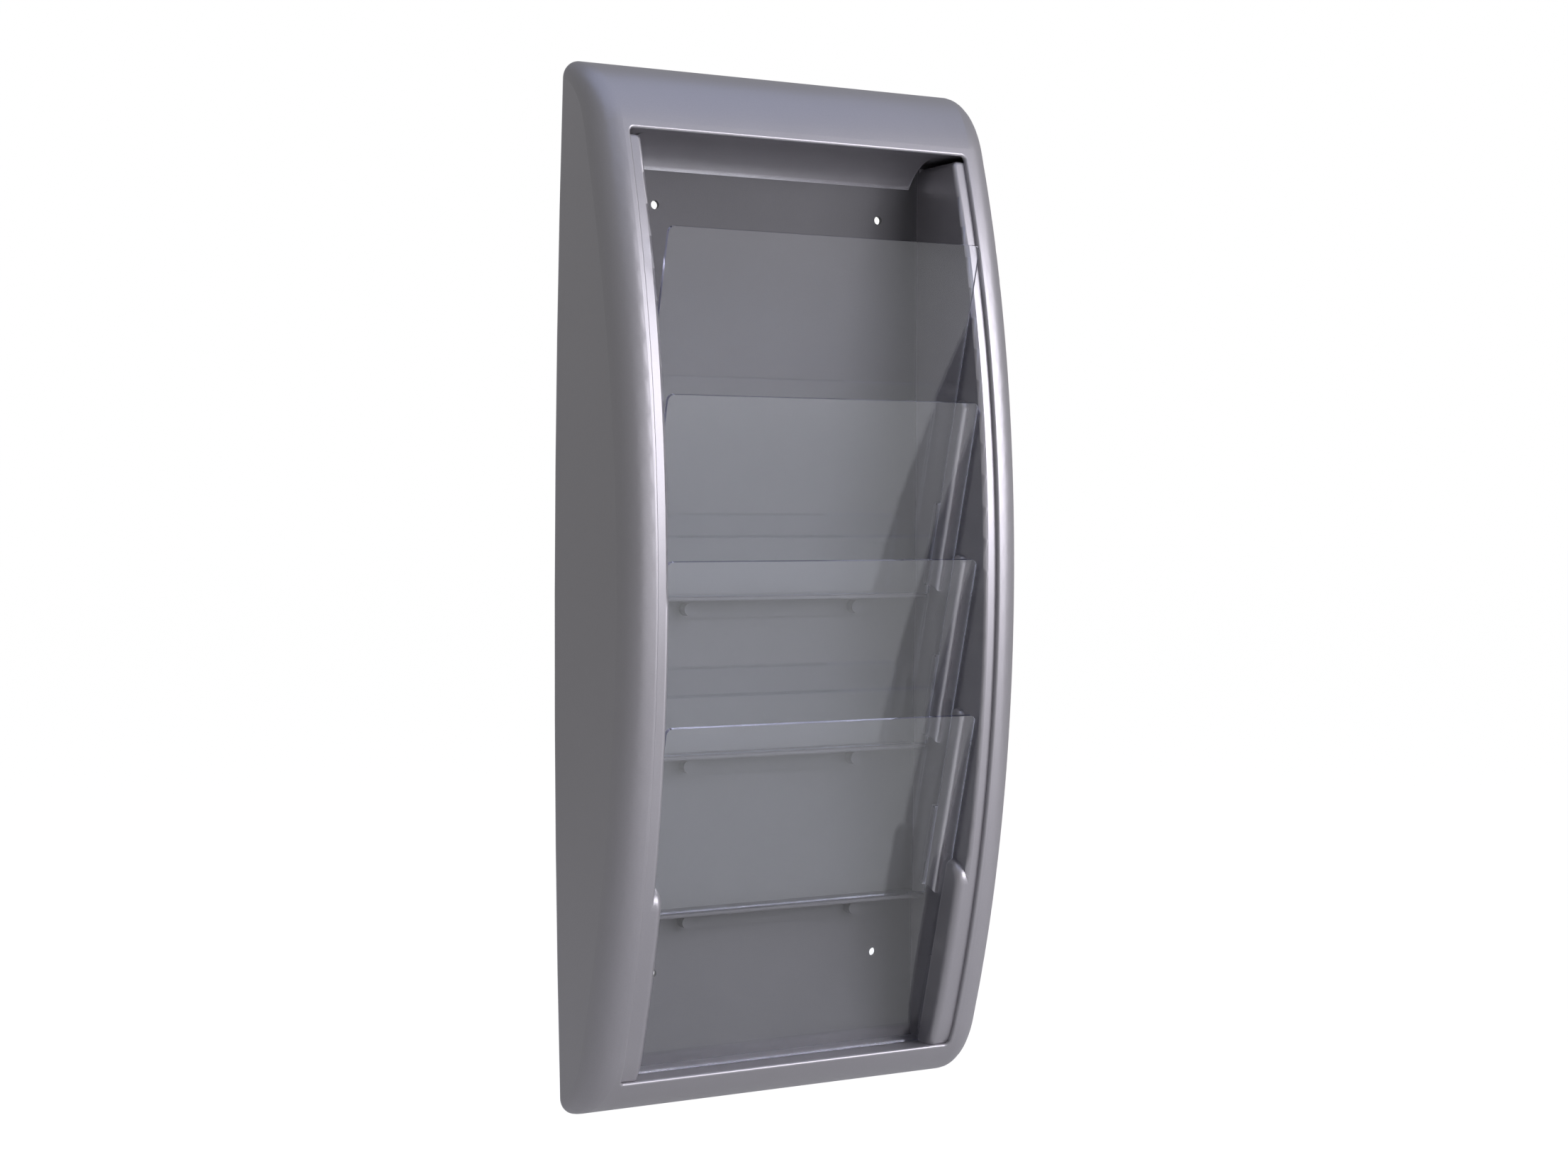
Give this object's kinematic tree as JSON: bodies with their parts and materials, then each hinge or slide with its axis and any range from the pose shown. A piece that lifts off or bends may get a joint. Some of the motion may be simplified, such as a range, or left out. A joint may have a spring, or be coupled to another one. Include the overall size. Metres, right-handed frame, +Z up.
{
  "type": "wall brochure holder",
  "caption": "Tall wall-hung brochure holder: bowed silver frame with hood and sill, and clear forward-leaning pocket plates standing one above another.",
  "frame": {"origin": "middle of the flat wall face", "axes": "+Z up, +Y into the wall, the front of the holder faces -Y"},
  "size_m": [0.29, 0.093, 0.6484],
  "materials": {
    "frame_silver": "satin silver moulded plastic",
    "cheek_silver": "satin silver moulded plastic",
    "panel_grey": "fine-grained dark grey moulded plastic",
    "clear_plate": "clear polished plastic sheet",
    "screw_steel": "zinc-plated steel"
  },
  "bodies": {
    "holder": {"outer_frame": "frame_silver", "back_panel": "panel_grey", "left_cheek": "cheek_silver", "right_cheek": "cheek_silver", "pocket_floor_1": "panel_grey", "pocket_floor_2": "panel_grey", "pocket_floor_3": "panel_grey", "frame_screws": "screw_steel", "cheek_screws": "screw_steel", "floor_screws": "screw_steel"},
    "pocket_plate_1": {"pocket_plate_1": "clear_plate"},
    "pocket_plate_2": {"pocket_plate_2": "clear_plate"},
    "pocket_plate_3": {"pocket_plate_3": "clear_plate"},
    "pocket_plate_4": {"pocket_plate_4": "clear_plate"}
  },
  "joints": [
    {"name": "pocket_plate_1_lift", "type": "slide", "parent": "holder", "child": "pocket_plate_1", "axis": [0, -0.2672, 0.9636], "range_m": [0, 0.135]},
    {"name": "pocket_plate_2_lift", "type": "slide", "parent": "holder", "child": "pocket_plate_2", "axis": [0, -0.2672, 0.9636], "range_m": [0, 0.135]},
    {"name": "pocket_plate_3_lift", "type": "slide", "parent": "holder", "child": "pocket_plate_3", "axis": [0, -0.2672, 0.9636], "range_m": [0, 0.135]},
    {"name": "pocket_plate_4_lift", "type": "slide", "parent": "holder", "child": "pocket_plate_4", "axis": [0, -0.2672, 0.9636], "range_m": [0, 0.135]}
  ]
}
